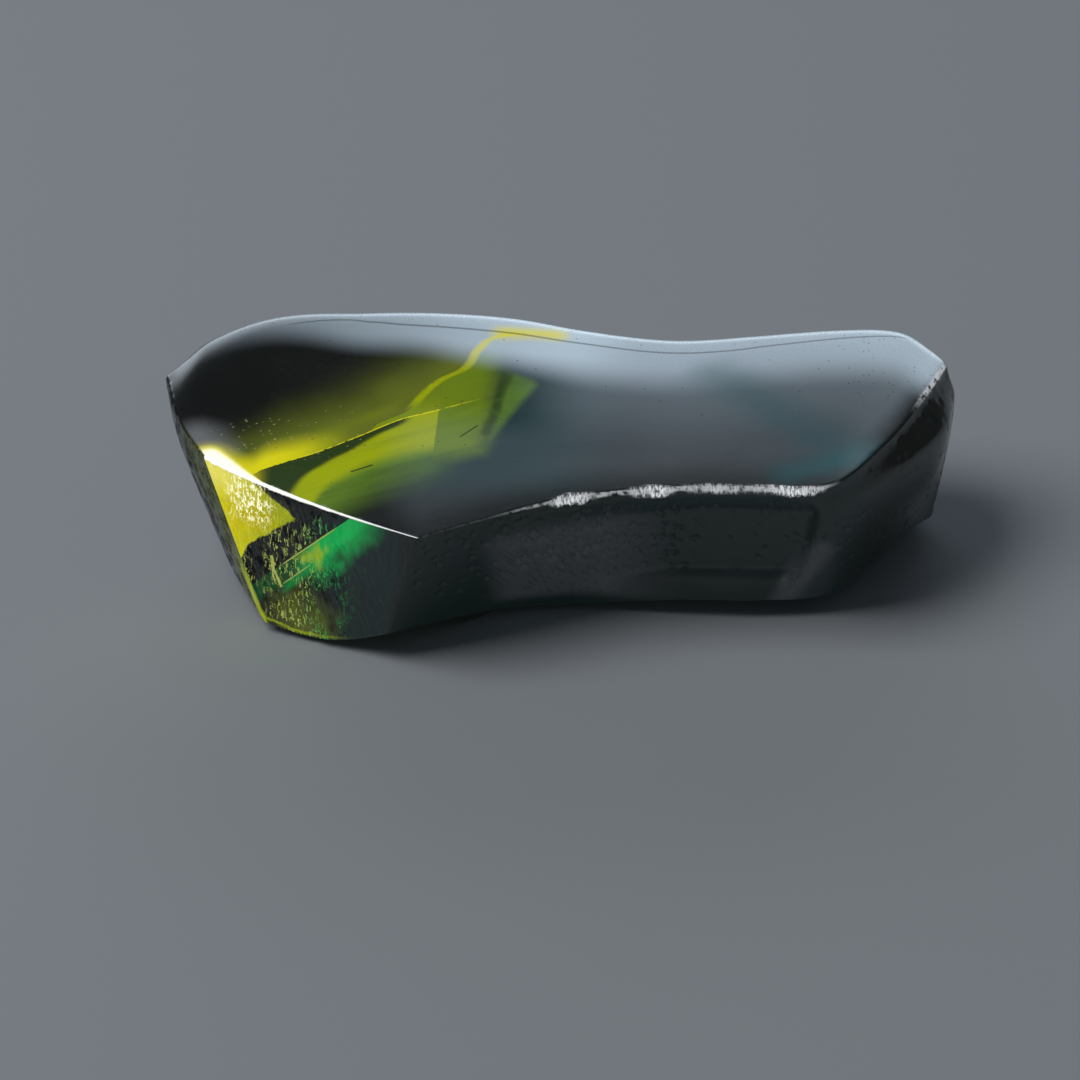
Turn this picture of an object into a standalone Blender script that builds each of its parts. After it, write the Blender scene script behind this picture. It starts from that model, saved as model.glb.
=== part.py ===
"""A rough sapphire: one elongated, water-worn crystal that lies on its flattest side.

The stone is a loft between unlike sections. Its upper outline is the rim, where the smooth top face
meets the sides. Its lower outline is the foot, which lies inside the rim because the sides lean
inwards as they go down. Both outlines have the same stations, so that each side face runs straight
from the rim to the foot, and a station that is a corner in both makes a sharp upright edge.
Chips along the rim, and the scars of broken flakes, are then cut with flattened balls.

X runs along the stone, +Y away from the viewer, and +Z up. The origin is under the middle of the
stone, on the surface that it lies on.
"""

import bmesh
import bpy
import numpy as np
from mathutils import Euler, Matrix, Vector
from mathutils.geometry import delaunay_2d_cdt

MM = 0.001

# How finely the stone is divided: the step round the rim and over the top face, in millimetres, and
# the rings on each other part
STEP_ROUND = 0.36
STEP_TOP = 0.50
SIDE_RINGS = 9
BASE_RINGS = 5
ROUND_RINGS = 3

# Stations round the stone, in millimetres: the rim's place, the foot's place and height, how far the
# side swells out of the straight line, how much the rim is rounded, and whether it is a corner
STATIONS = [
    ("left_tip", (-8.46, 0.95), (-7.20, -0.30, 0.50), 0.12, 0.20, True),
    ("left_wall", (-7.90, -1.00), (-6.78, -2.00, 0.40), 0.10, 0.16, False),
    ("hot_corner", (-7.15, -2.36), (-5.80, -4.05, 0.21), 0.00, 0.12, True),
    ("left_face", (-4.54, -4.22), (-4.30, -4.72, 0.16), 0.02, 0.10, False),
    ("apex", (-1.97, -5.76), (-2.91, -5.36, 0.68), 0.00, 0.06, True),
    ("past_apex", (-0.44, -5.02), (-0.75, -3.60, 0.24), 0.00, 0.07, False),
    ("ledge_start", (1.08, -4.39), (0.80, -3.20, 0.12), 0.00, 0.12, False),
    ("ledge_middle", (3.79, -4.03), (3.60, -3.55, 0.45), 0.00, 0.14, False),
    ("ledge_end", (5.60, -4.12), (5.40, -3.62, 0.47), 0.04, 0.16, False),
    ("right_shoulder", (7.08, -4.25), (6.70, -3.40, 0.45), 0.16, 0.10, False),
    ("right_face", (8.20, -2.92), (7.70, -2.15, 0.50), 0.38, 0.10, False),
    ("right_end", (9.02, -0.90), (8.40, -0.70, 0.48), 0.62, 0.12, False),
    ("right_tip", (9.42, 0.62), (8.92, 0.50, 0.20), 0.26, 0.14, True),
    ("right_back", (8.75, 1.95), (8.10, 1.60, 0.15), 0.25, 0.45, False),
    ("back_right_hump", (6.60, 2.65), (6.20, 2.10, 0.20), 0.25, 0.50, False),
    ("back_saddle", (3.20, 2.75), (3.20, 2.20, 0.20), 0.15, 0.50, False),
    ("back_middle", (0.00, 2.85), (0.20, 2.15, 0.20), 0.10, 0.50, False),
    ("back_hump", (-3.40, 3.00), (-3.20, 2.10, 0.30), 0.20, 0.50, False),
    ("back_left", (-6.00, 3.05), (-5.60, 1.90, 0.45), 0.20, 0.45, False),
    ("left_back", (-7.70, 2.30), (-6.90, 0.95, 0.55), 0.14, 0.35, False),
]
RIM = np.array([station[1] for station in STATIONS])
RIM_SPANS = np.linalg.norm(np.roll(RIM, -1, 0) - RIM, axis=1)
CORNER = [station[5] for station in STATIONS]

# The top face along X: the crest's place, the crest's height and the front's height
CREST_Y = [
    (-8.45, 1.0), (-7.6, 1.8), (-6.2, 2.3), (-3.8, 2.1), (3.0, 2.0), (7.0, 1.85), (8.4, 1.5), (9.45, 0.6),
]
CREST_Z = [
    (-8.45, 3.85), (-7.6, 4.12), (-6.2, 4.45), (-3.8, 4.68), (-2.0, 4.68), (-0.4, 4.52), (1.0, 4.22),
    (3.0, 3.95), (5.0, 4.05), (7.6, 4.30), (8.4, 4.28), (9.45, 4.17),
]
FRONT_Z = [
    (-8.45, 3.60), (-7.15, 3.36), (-4.5, 3.25), (-2.0, 3.28), (1.0, 3.44), (3.8, 3.60), (7.1, 3.74),
    (8.2, 4.00), (9.45, 4.17),
]
CREST_FALL = 2.8
CREST_POWER = 2.2
BACK_ROUND = 0.85

# The middles that the rim is rounded towards, and that the rings of the base shrink to
TOP_MIDDLE = (0.4, -1.0)
BASE_MIDDLE = (1.0, -1.4)
BASE_FLAT_FROM = 0.50
FOOT_ROUND = 0.10

# The hollow in the front face: its ends along X, how far each takes to rise, its slant and its depth
HOLLOW_FROM, HOLLOW_TO = 0.2, 7.2
HOLLOW_RISE_LEFT, HOLLOW_RISE_RIGHT = 3.2, 0.75
HOLLOW_SLANT = 1.1
HOLLOW_DEPTH = 0.42

# Flattened balls that cut the stone: each one's middle, half its length, width and height in
# millimetres, and its turn about X, Y and Z in degrees
CUTS = [
    ("rim_chip_a", (1.25, -4.44, 3.52), (0.58, 0.22, 0.13), (38, 0, 12)),
    ("rim_chip_b", (3.15, -4.13, 3.62), (0.48, 0.20, 0.12), (36, -3, 2)),
    ("rim_chip_c", (4.30, -4.10, 3.68), (0.46, 0.22, 0.13), (40, 2, -3)),
    ("rim_chip_d", (5.08, -4.15, 3.71), (0.42, 0.24, 0.15), (38, 0, -4)),
    ("rim_chip_e", (5.85, -4.22, 3.74), (0.50, 0.21, 0.13), (34, 3, -5)),
    ("rim_chip_f", (6.62, -4.30, 3.77), (0.40, 0.20, 0.13), (42, -2, -4)),
    ("right_chip_a", (8.72, -1.86, 4.08), (0.42, 0.15, 0.11), (36, -5, 68)),
    ("right_chip_b", (9.26, -0.36, 4.16), (0.46, 0.15, 0.11), (36, -3, 76)),
    ("back_flake_a", (4.60, 2.84, 0.80), (2.60, 1.60, 0.62), (80, 4, 2)),
    ("back_flake_b", (-5.00, 2.72, 1.30), (2.10, 1.80, 0.62), (72, 14, 4)),
    ("back_flake_c", (7.20, 2.50, -0.10), (1.40, 0.85, 0.80), (30, -6, -20)),
    ("left_flake", (-7.26, 1.30, 0.30), (1.05, 0.62, 0.75), (0, 20, 64)),
]
BALL_SEGMENTS = 20
BALL_RINGS = 12

COLOUR = (0.030, 0.055, 0.035, 1.0)
ROUGHNESS = 0.16
IOR = 1.77
TRANSMISSION = 0.6


def through(values, corners, at):
    """A closed curve through one value for each station, read at the numbers in at.

    It is a cubic in each span, measured along the rim. Its slope at a station is the mean of the two
    chords' slopes, weighted by the other chord's length, and a corner has one slope on each side.
    """
    values = np.asarray(values, float)
    run = RIM_SPANS[:, None]
    slope = (np.roll(values, -1, 0) - values) / run
    before_run, before_slope = np.roll(run, 1, 0), np.roll(slope, 1, 0)
    mean = (slope * before_run + before_slope * run) / (run + before_run)
    corner = np.asarray(corners)[:, None]
    leave = np.where(corner, 1.5 * slope - 0.5 * np.roll(mean, -1, 0), mean)
    arrive = np.where(corner, 1.5 * before_slope - 0.5 * np.roll(mean, 1, 0), mean)
    here = np.floor(at).astype(int)
    there = (here + 1) % len(values)
    t = (at - here)[:, None]
    h = 2 * t**3 - 3 * t**2 + 1
    curve = h * values[here] + (1 - h) * values[there]
    curve += (t**3 - 2 * t**2 + t) * run[here] * leave[here]
    curve += (t**3 - t**2) * run[here] * arrive[there]
    return curve


def along(table, x):
    """A smooth height or place along X, through the pairs in table, and level past its ends."""
    xs, ys = np.array(table).T
    step = np.diff(ys) / np.diff(xs)
    slope = np.concatenate([[0.0], (step[1:] + step[:-1]) / 2, [0.0]])
    x = np.clip(x, xs[0], xs[-1])
    i = np.clip(np.searchsorted(xs, x, side="right") - 1, 0, len(xs) - 2)
    run = xs[i + 1] - xs[i]
    t = (x - xs[i]) / run
    h = 2 * t**3 - 3 * t**2 + 1
    bend = (t**3 - 2 * t**2 + t) * slope[i] + (t**3 - t**2) * slope[i + 1]
    return h * ys[i] + (1 - h) * ys[i + 1] + bend * run


def top_height(x, y):
    """The top face falls from the crest to the front in a soft S, and rounds over behind the crest."""
    ahead = along(CREST_Y, x) - y
    front, crest = along(FRONT_Z, x), along(CREST_Z, x)
    fall = 1 / (1 + (np.maximum(ahead, 0) / CREST_FALL) ** CREST_POWER)
    return front + (crest - front) * fall - BACK_ROUND * np.minimum(ahead, 0) ** 2


def ease(low, high, value):
    """0 below low, 1 above high, and a smooth rise between."""
    t = np.clip((value - low) / (high - low), 0, 1)
    return t * t * (3 - 2 * t)


def numbers_round():
    """The numbers that the outlines are read at: each span is parted into even steps."""
    steps = np.maximum(2, np.round(RIM_SPANS / STEP_ROUND)).astype(int)
    return np.concatenate([i + np.arange(n) / n for i, n in enumerate(steps)])


def lift(flat):
    return np.column_stack([flat, top_height(flat[:, 0], flat[:, 1])])


def unit(vectors):
    return vectors / np.linalg.norm(vectors, axis=1)[:, None]


def rounded(start, corner, end, count):
    """Rings on the quadratic curve from start to end that corner pulls on, both ends left out."""
    for t in np.arange(1, count + 1) / (count + 1):
        yield (1 - t) ** 2 * start + 2 * t * (1 - t) * corner + t**2 * end


def side_ring(rim, foot, outward, swell, down):
    """A ring on the sides. The swell is fullest a third of the way down, and the front is hollowed."""
    ring = rim + (foot - rim) * down[:, None]
    ring = ring + outward * (swell * np.sin(np.pi * down**0.6))[:, None]
    x = ring[:, 0]
    rise = ease(HOLLOW_FROM, HOLLOW_FROM + HOLLOW_RISE_LEFT, x)
    end = ease(HOLLOW_TO - HOLLOW_RISE_RIGHT, HOLLOW_TO, x + HOLLOW_SLANT * down**2)
    in_height = ease(0.04, 0.30, down) * (1 - ease(0.84, 0.97, down))
    on_front = ring[:, 1] < -1.5
    return ring - outward * (HOLLOW_DEPTH * rise * (1 - end) * in_height * on_front)[:, None]


def stone_rings():
    """Every ring, from the top face's edge over the rim and the foot to the middle of the base."""
    at = numbers_round()
    rim_flat = through(RIM, CORNER, at)
    foot = through([s[2] for s in STATIONS], CORNER, at)
    measures = through([(s[3], s[4]) for s in STATIONS], [False] * len(STATIONS), at)
    swell, rounding = np.maximum(measures[:, 0], 0), np.maximum(measures[:, 1], 0.05)

    rim = lift(rim_flat)
    middle = np.array(TOP_MIDDLE)
    reach = np.linalg.norm(middle - rim_flat, axis=1)
    turn = np.roll(rim_flat, -1, 0) - np.roll(rim_flat, 1, 0)
    outward = unit(np.column_stack([turn[:, 1], -turn[:, 0], np.zeros(len(at))]))

    inner = lift(middle + (rim_flat - middle) * (1 - rounding / reach)[:, None])
    yield inner
    drop = np.linalg.norm(rim - foot, axis=1)
    first, last = rounding / drop, 1 - FOOT_ROUND / drop
    upper = side_ring(rim, foot, outward, swell, first)
    lower = side_ring(rim, foot, outward, swell, last)
    yield from rounded(inner, rim, upper, ROUND_RINGS)
    for share in np.arange(SIDE_RINGS + 1) / SIDE_RINGS:
        yield side_ring(rim, foot, outward, swell, first + (last - first) * share)

    base_middle = np.array(BASE_MIDDLE)
    inwards = unit(np.column_stack([base_middle - foot[:, :2], np.zeros(len(at))]))
    edge = foot + inwards * FOOT_ROUND
    yield from rounded(lower, foot, edge, 1)
    for share in np.linspace(0, 1, BASE_RINGS + 1):
        height = foot[:, 2] * (1 - ease(0, BASE_FLAT_FROM, share))
        yield np.column_stack([edge[:, :2] + (base_middle - edge[:, :2]) * share, height])


def top_triangles(ring):
    """The top face as a net of near-even triangles: its points in plan, and its triangles.

    The first points are the ring's own, and none of the others lies close to them.
    """
    low, high = ring.min(axis=0), ring.max(axis=0)
    rows = np.arange(low[1], high[1], STEP_TOP * np.sqrt(0.75))
    columns = np.arange(low[0], high[0], STEP_TOP)
    x, y = np.meshgrid(columns, rows)
    x = x + (np.arange(len(rows)) % 2 * STEP_TOP / 2)[:, None]
    net = np.column_stack([x.ravel(), y.ravel()])
    gaps = np.linalg.norm(net[:, None] - ring[None], axis=2).min(axis=1)
    flat = np.concatenate([ring, net[gaps > 0.7 * STEP_TOP]])
    edges = [(i, (i + 1) % len(ring)) for i in range(len(ring))]
    found = delaunay_2d_cdt([Vector(p) for p in flat], edges, [], 1, 1e-6)
    return flat, [[found[3][i][0] for i in triangle] for triangle in found[2]]


def loft(name, rings):
    """One closed mesh from the rings, moved so that the middle of its underside is at the origin."""
    flat, triangles = top_triangles(rings[0][:, :2])
    ends = np.array([np.min(rings, axis=(0, 1)), np.max(rings, axis=(0, 1))])
    top = lift(flat)
    origin = np.array([*ends.mean(axis=0)[:2], ends[0, 2]])
    mesh = bmesh.new()
    loops = [[mesh.verts.new((point - origin) * MM) for point in ring] for ring in rings]
    for upper, lower in zip(loops, loops[1:]):
        for i in range(len(upper)):
            j = (i + 1) % len(upper)
            mesh.faces.new((upper[j], upper[i], lower[i], lower[j]))
    within = {i: loops[0][i] for i in range(len(loops[0]))}
    for triangle in triangles:
        for i in triangle:
            if i not in within:
                within[i] = mesh.verts.new((top[i] - origin) * MM)
        mesh.faces.new([within[i] for i in triangle])
    bmesh.ops.remove_doubles(mesh, verts=mesh.verts, dist=0.004 * MM)
    bmesh.ops.dissolve_degenerate(mesh, edges=mesh.edges, dist=0.002 * MM)
    bmesh.ops.triangulate(mesh, faces=mesh.faces)
    bmesh.ops.recalc_face_normals(mesh, faces=mesh.faces)
    data = bpy.data.meshes.new(name)
    mesh.to_mesh(data)
    mesh.free()
    return bpy.data.objects.new(name, data), origin


def flattened_ball(name, middle, halves, turn):
    """A ball with its own length, width and height, turned and put at middle."""
    mesh = bmesh.new()
    bmesh.ops.create_uvsphere(mesh, u_segments=BALL_SEGMENTS, v_segments=BALL_RINGS, radius=1.0)
    turned = Euler(np.radians(turn), "XYZ").to_matrix().to_4x4()
    placed = Matrix.Translation(Vector(middle) * MM) @ turned @ Matrix.Diagonal((*(Vector(halves) * MM), 1.0))
    bmesh.ops.transform(mesh, matrix=placed, verts=mesh.verts)
    bmesh.ops.recalc_face_normals(mesh, faces=mesh.faces)
    data = bpy.data.meshes.new(name)
    mesh.to_mesh(data)
    mesh.free()
    return bpy.data.objects.new(name, data)


def sapphire_material():
    material = bpy.data.materials.new("Sapphire")
    material.use_nodes = True
    shader = material.node_tree.nodes["Principled BSDF"]
    shader.inputs["Base Color"].default_value = COLOUR
    shader.inputs["Roughness"].default_value = ROUGHNESS
    shader.inputs["Metallic"].default_value = 0.0
    shader.inputs["IOR"].default_value = IOR
    shader.inputs["Transmission Weight"].default_value = TRANSMISSION
    return material


def new_collection(name):
    collection = bpy.data.collections.new(name)
    bpy.context.scene.collection.children.link(collection)
    return collection


def main():
    for old in list(bpy.data.objects):
        bpy.data.objects.remove(old)
    parts = new_collection("Rough sapphire")
    helpers = new_collection("Cutting shapes")
    helpers.hide_render = True

    stone, origin = loft("sapphire", list(stone_rings()))
    stone.data.materials.append(sapphire_material())
    parts.objects.link(stone)
    for name, middle, halves, turn in CUTS:
        ball = flattened_ball(name, np.array(middle) - origin, halves, turn)
        ball.hide_render = True
        ball.display_type = "WIRE"
        helpers.objects.link(ball)
        cut = stone.modifiers.new(name, "BOOLEAN")
        cut.operation = "DIFFERENCE"
        cut.solver = "EXACT"
        cut.object = ball


main()
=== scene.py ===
"""Dresses the rough sapphire: the stone's skin with its etched and chipped relief, its colour zones with painted sheen,
highlights and glow, and a stage.

The skin comes from the CAD solid's formulas on a much finer grid. Its crest is a little higher near the
right end, and it has relief and a ragged broken edge. Lengths inside the functions are in millimetres,
in the stone's own layout, and a mesh is moved and scaled to metres last.
"""
from itertools import product

import bpy
import numpy as np
from bpy.props import FloatProperty, FloatVectorProperty, PointerProperty
from mathutils import Euler, Matrix, Vector


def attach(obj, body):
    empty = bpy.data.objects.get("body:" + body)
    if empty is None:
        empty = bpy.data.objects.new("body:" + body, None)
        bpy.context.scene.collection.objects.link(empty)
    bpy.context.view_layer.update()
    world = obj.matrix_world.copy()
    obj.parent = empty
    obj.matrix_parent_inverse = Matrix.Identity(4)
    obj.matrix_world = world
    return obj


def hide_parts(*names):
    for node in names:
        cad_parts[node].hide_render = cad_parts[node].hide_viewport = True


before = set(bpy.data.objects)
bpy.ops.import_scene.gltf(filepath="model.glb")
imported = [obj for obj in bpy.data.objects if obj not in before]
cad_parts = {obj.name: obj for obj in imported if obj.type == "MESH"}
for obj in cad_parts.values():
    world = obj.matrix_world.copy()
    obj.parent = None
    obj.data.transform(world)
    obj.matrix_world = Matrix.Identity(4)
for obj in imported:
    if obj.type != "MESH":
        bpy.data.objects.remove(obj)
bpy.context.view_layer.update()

bl_info = {
    "name": "Rough sapphire",
    "version": (1, 0, 0),
    "blender": (4, 5, 0),
    "location": "3D View > Sidebar > Sapphire",
    "description": "Makes a rough sapphire crystal and a plain stage for it",
    "category": "Add Mesh",
}

MM = 0.001

# Sapphire's index, how see-through the dark crystal is, and how much of its colour is given out again as a painted glow
SAPPHIRE_INDEX = 1.77
SEE_THROUGH = 0.35
GLOW_SHARE = 0.62

# The left facet's upper edge in plan: the corner it starts from, and its direction
HOT_CORNER = (-7.15, -2.36)
FACET_WAY = (0.836, -0.549)

# Stations round the stone: the rim's place, the foot's place and height, how far the side swells, how
# much the rim is rounded, whether it is a corner, and the step between columns of the grid after it
STATIONS = [
    ("left_tip", (-8.46, 0.95), (-7.2, -0.3, 0.5), 0.12, 0.2, True, 0.07),
    ("left_wall", (-7.9, -1.0), (-6.78, -2.0, 0.4), 0.1, 0.16, False, 0.05),
    ("hot_corner", (-7.15, -2.36), (-5.8, -4.05, 0.21), 0.0, 0.12, True, 0.03),
    ("left_face", (-4.54, -4.22), (-4.3, -4.72, 0.16), 0.02, 0.1, False, 0.03),
    ("apex", (-1.97, -5.76), (-2.91, -5.36, 0.68), 0.0, 0.06, True, 0.05),
    ("past_apex", (-0.44, -5.02), (-0.75, -3.6, 0.24), 0.0, 0.07, False, 0.055),
    ("ledge_start", (1.08, -4.39), (0.8, -3.2, 0.12), 0.0, 0.12, False, 0.05),
    ("ledge_middle", (3.79, -4.03), (3.6, -3.55, 0.45), 0.0, 0.14, False, 0.045),
    ("ledge_end", (5.6, -4.12), (5.4, -3.62, 0.47), 0.04, 0.16, False, 0.045),
    ("right_shoulder", (7.08, -4.25), (6.7, -3.4, 0.45), 0.16, 0.1, False, 0.06),
    ("right_face", (8.2, -2.92), (7.7, -2.15, 0.5), 0.38, 0.1, False, 0.08),
    ("right_end", (9.02, -0.9), (8.4, -0.7, 0.48), 0.62, 0.12, False, 0.08),
    ("right_tip", (9.42, 0.62), (8.92, 0.5, 0.2), 0.26, 0.14, True, 0.12),
    ("right_back", (8.75, 1.95), (8.1, 1.6, 0.15), 0.25, 0.45, False, 0.17),
    ("back_right_hump", (6.6, 2.65), (6.2, 2.1, 0.2), 0.25, 0.5, False, 0.17),
    ("back_saddle", (3.2, 2.75), (3.2, 2.2, 0.2), 0.15, 0.5, False, 0.17),
    ("back_middle", (0.0, 2.85), (0.2, 2.15, 0.2), 0.1, 0.5, False, 0.17),
    ("back_hump", (-3.4, 3.0), (-3.2, 2.1, 0.3), 0.2, 0.5, False, 0.17),
    ("back_left", (-6.0, 3.05), (-5.6, 1.9, 0.45), 0.2, 0.45, False, 0.12),
    ("left_back", (-7.7, 2.3), (-6.9, 0.95, 0.55), 0.14, 0.35, False, 0.09),
]
RIM = np.array([station[1] for station in STATIONS])
RIM_SPANS = np.linalg.norm(np.roll(RIM, -1, 0) - RIM, axis=1)
CORNER = [station[5] for station in STATIONS]
NUMBER = {station[0]: i for i, station in enumerate(STATIONS)}

# The top face along X: the crest's place, the crest's height and the front's height
CREST_Y = [
    (-8.45, 1.0), (-7.6, 1.8), (-6.2, 2.3), (-3.8, 2.1), (3.0, 2.0), (7.0, 1.85), (8.4, 1.5), (9.45, 0.6),
]
CREST_Z = [
    (-8.45, 3.85), (-7.6, 4.12), (-6.2, 4.45), (-3.8, 4.68), (-2.0, 4.68), (-0.4, 4.52), (1.0, 4.22),
    (3.0, 3.95), (5.0, 4.05), (7.6, 4.31), (8.4, 4.34), (9.0, 4.27), (9.45, 4.17),
]
FRONT_Z = [
    (-8.45, 3.60), (-7.15, 3.36), (-4.5, 3.25), (-2.0, 3.28), (1.0, 3.44), (3.8, 3.60), (7.1, 3.74),
    (8.2, 4.00), (9.45, 4.17),
]
CREST_FALL = 2.8
CREST_POWER = 2.2
BACK_ROUND = 0.85

# Where the front rim runs along X, and how bright and how broad the painted sheen below the crest is, a painted
# reflection of the light behind
FRONT_RIM = [station[1] for station in STATIONS[3:13] if station[0] != "ledge_end"]
SHEEN_END = [
    (-8.4, 0.15), (-7.67, 0.27), (-6.5, 0.39), (-5.3, 0.54), (-3.9, 0.75), (-2.5, 0.83), (-1.4, 0.98),
    (-0.2, 1.03), (0.7, 0.94), (2.0, 0.9), (9.4, 0.85),
]
SHEEN_LEVEL = [(-8.4, 0.06), (-6.0, 0.3), (-3.0, 0.62), (-0.5, 0.92), (0.8, 1.0), (2.5, 0.66), (9.4, 0.68)]

# Where the fine crack runs over the worn crest
CRACK_Y = [
    (-6.6, 1.7), (-5.65, 2.06), (-5.13, 2.08), (-3.66, 1.84), (-2.49, 1.65), (-0.78, 1.57), (1.47, 1.63),
    (4.43, 1.58), (5.57, 1.66), (7.84, 1.59), (8.8, 1.15),
]

TOP_MIDDLE = (0.4, -1.0)
BASE_MIDDLE = (1.0, -1.4)
BASE_FLAT_FROM = 0.50
FOOT_ROUND = 0.10

# The hollow in the front face: its ends along X, how far each takes to rise, its slant and its depth
HOLLOW_FROM, HOLLOW_TO = 0.2, 7.2
HOLLOW_RISE_LEFT, HOLLOW_RISE_RIGHT = 3.2, 0.75
HOLLOW_SLANT = 1.1
HOLLOW_DEPTH = 0.42

# Flattened balls that cut the stone: half the length, width and height, and the turn in degrees
CUTS = [
    ("back_flake_a", (4.60, 2.84, 0.80), (2.60, 1.60, 0.62), (80, 4, 2)),
    ("back_flake_b", (-5.00, 2.72, 1.30), (2.10, 1.80, 0.62), (72, 14, 4)),
    ("back_flake_c", (7.20, 2.50, -0.10), (1.40, 0.85, 0.80), (30, -6, -20)),
    ("left_flake", (-7.26, 1.30, 0.30), (1.05, 0.62, 0.75), (0, 20, 64)),
]

# How wide the broken edge of the front and right rim is, along X
CHIP_WIDTH = [
    (-1.60, 0.0), (-0.40, 0.01), (0.40, 0.015), (0.75, 0.03), (1.05, 0.17), (1.45, 0.24), (1.80, 0.07),
    (2.60, 0.04), (2.85, 0.14), (3.25, 0.24), (3.50, 0.10), (3.68, 0.01), (3.95, 0.06), (4.60, 0.11),
    (5.20, 0.06), (5.75, 0.12), (6.35, 0.30), (6.75, 0.15), (7.05, 0.03), (7.35, 0.0), (8.70, 0.0),
    (8.90, 0.03), (9.15, 0.05), (9.30, 0.05), (9.42, 0.02),
]

# Rows of the grid: over the top face, the rounded rim, the sides, the rounded foot and the base
TOP_ROWS = 56
RIM_ROWS = 10
SIDE_ROWS = 58
FOOT_ROWS = 5
BASE_ROWS = 18


def along(table, x):
    """A smooth height or place along X, through the pairs in table, and level past its ends."""
    xs, ys = np.array(table).T
    step = np.diff(ys) / np.diff(xs)
    slope = np.concatenate([[0.0], (step[1:] + step[:-1]) / 2, [0.0]])
    x = np.clip(x, xs[0], xs[-1])
    i = np.clip(np.searchsorted(xs, x, side="right") - 1, 0, len(xs) - 2)
    run = xs[i + 1] - xs[i]
    t = (x - xs[i]) / run
    h = 2 * t**3 - 3 * t**2 + 1
    bend = (t**3 - 2 * t**2 + t) * slope[i] + (t**3 - t**2) * slope[i + 1]
    return h * ys[i] + (1 - h) * ys[i + 1] + bend * run


def through(values, corners, at):
    """A closed curve through one value for each station, read at the numbers in at.

    It is a cubic in each span. Its slope at a station is the mean of the two chords' slopes, weighted
    by the other chord's length, and a corner has one slope on each side.
    """
    values = np.asarray(values, float)
    run = RIM_SPANS[:, None]
    slope = (np.roll(values, -1, 0) - values) / run
    before_run, before_slope = np.roll(run, 1, 0), np.roll(slope, 1, 0)
    mean = (slope * before_run + before_slope * run) / (run + before_run)
    corner = np.asarray(corners)[:, None]
    leave = np.where(corner, 1.5 * slope - 0.5 * np.roll(mean, -1, 0), mean)
    arrive = np.where(corner, 1.5 * before_slope - 0.5 * np.roll(mean, 1, 0), mean)
    here = np.floor(at).astype(int)
    there = (here + 1) % len(values)
    t = (at - here)[:, None]
    h = 2 * t**3 - 3 * t**2 + 1
    curve = h * values[here] + (1 - h) * values[there]
    curve += (t**3 - 2 * t**2 + t) * run[here] * leave[here]
    curve += (t**3 - t**2) * run[here] * arrive[there]
    return curve


def top_height(x, y):
    """The top face falls from the crest to the front in a soft S, and rounds over behind the crest."""
    ahead = along(CREST_Y, x) - y
    front, crest = along(FRONT_Z, x), along(CREST_Z, x)
    fall = 1 / (1 + (np.maximum(ahead, 0) / CREST_FALL) ** CREST_POWER)
    return front + (crest - front) * fall - BACK_ROUND * np.minimum(ahead, 0) ** 2


def ease(low, high, value):
    """0 below low, 1 above high, and a smooth rise between."""
    t = np.clip((value - low) / (high - low), 0, 1)
    return t * t * (3 - 2 * t)


def span(value, low, rise, fall, high):
    """0 up to low and from high on, 1 from rise to fall, and smooth between them."""
    return ease(low, rise, value) * (1 - ease(fall, high, value))


def clipped(value):
    return np.clip(value, 0, 1)


def lift(flat):
    """Places in plan, raised to the top face."""
    return np.concatenate([flat, top_height(flat[..., 0], flat[..., 1])[..., None]], axis=-1)


def unit(vectors):
    return vectors / np.maximum(np.linalg.norm(vectors, axis=-1, keepdims=True), 1e-12)


def smooth_noise(points, seed):
    """Random numbers from 0 to 1 on a lattice one unit apart, joined by eased straight lines."""
    table = np.random.default_rng(seed).random((32, 32, 32))
    cell = np.floor(points).astype(int)
    t = points - cell
    t = t * t * (3 - 2 * t)
    total = np.zeros(points.shape[:-1])
    for corner in product((0, 1), repeat=3):
        i, j, k = np.moveaxis((cell + corner) % 32, -1, 0)
        total += table[i, j, k] * np.prod(np.where(corner, t, 1 - t), axis=-1)
    return total


def layered_noise(points, seed, layers):
    """Noise in layers, each twice as fine and half as strong as the one before, from about 0 to 1."""
    total = sum(smooth_noise(points * 2**i, seed + i) / 2**i for i in range(layers))
    return total / (2 - 2.0 ** (1 - layers))


def seeds_near(points, seed):
    """The distances to the nearest two of random seeds, one to a lattice cell, and the nearest's lot."""
    random = np.random.default_rng(seed)
    offsets, lots = random.random((16, 16, 16, 3)), random.random((16, 16, 16))
    cell = np.floor(points).astype(int)
    near = np.full(points.shape[:-1], 9.0)
    next_near, lot = near.copy(), np.zeros_like(near)
    for step in product((-1, 0, 1), repeat=3):
        neighbour = cell + step
        i, j, k = np.moveaxis(neighbour % 16, -1, 0)
        gap = np.linalg.norm(neighbour + offsets[i, j, k] - points, axis=-1)
        closer = gap < near
        next_near = np.where(closer, near, np.minimum(next_near, gap))
        near, lot = np.where(closer, gap, near), np.where(closer, lots[i, j, k], lot)
    return near, next_near, lot


def grid_normals(points):
    """Outward unit normals of a grid whose rows run down the stone and whose columns close round it."""
    down = np.gradient(points, axis=0)
    across = np.roll(points, -1, 1) - np.roll(points, 1, 1)
    normals = unit(np.cross(down, across))
    normals[0], normals[-1] = (0, 0, 1), (0, 0, -1)
    return normals


def columns_round():
    """The numbers that the outlines are read at: each span is parted into steps of its own size."""
    steps = np.round(RIM_SPANS / [station[6] for station in STATIONS]).astype(int)
    return np.concatenate([i + np.arange(n) / n for i, n in enumerate(steps)])


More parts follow.
